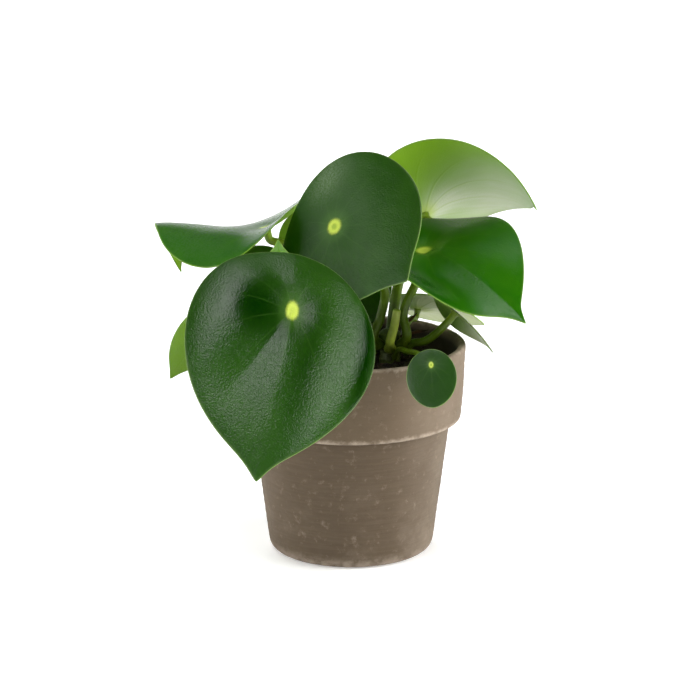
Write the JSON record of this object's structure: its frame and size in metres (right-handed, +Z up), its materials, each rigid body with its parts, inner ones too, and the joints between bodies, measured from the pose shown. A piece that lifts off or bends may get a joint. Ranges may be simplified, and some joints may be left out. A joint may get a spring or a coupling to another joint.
{
  "type": "potted peperomia",
  "caption": "House plant with thick, glossy, drop-shaped leaves held on fleshy stalks, growing in soil in a round clay pot with a tall collar.",
  "frame": {"origin": "centre of the pot's flat base, on the surface it stands on", "axes": "+Z up along the pot's axis, -Y towards the front with the largest leaf, +X to the right seen from the front"},
  "size_m": [0.2213, 0.25, 0.2301],
  "materials": {
    "clay": "matte",
    "soil": "matte",
    "stem": "satin",
    "leaf": "gloss",
    "stalk": "satin",
    "dry_stalk": "matte"
  },
  "bodies": {
    "root": {"pot": "clay", "soil": "soil", "stem_right": "stem", "stem_left": "stem", "leaf_front_left": "leaf", "leaf_upper": "leaf", "leaf_left": "leaf", "leaf_back_right": "leaf", "leaf_right": "leaf", "leaf_small_front": "leaf", "leaf_low_back_right": "leaf", "leaf_low_right": "leaf", "leaf_low_left": "leaf", "leaf_back_left": "leaf", "leaf_low_back_left": "leaf", "leaf_young_left": "leaf", "leaf_inner": "leaf", "stalk_front_left": "stalk", "stalk_upper": "stalk", "stalk_left": "stalk", "stalk_back_right": "stalk", "stalk_right": "stalk", "stalk_small_front": "stalk", "stalk_low_back_right": "stalk", "stalk_low_right": "stalk", "stalk_low_left": "stalk", "stalk_back_left": "stalk", "stalk_low_back_left": "stalk", "stalk_young_left": "stalk", "stalk_inner": "stalk", "stub": "stalk", "dry_stalk_front": "dry_stalk", "dry_stalk_back": "dry_stalk"}
  },
  "joints": []
}
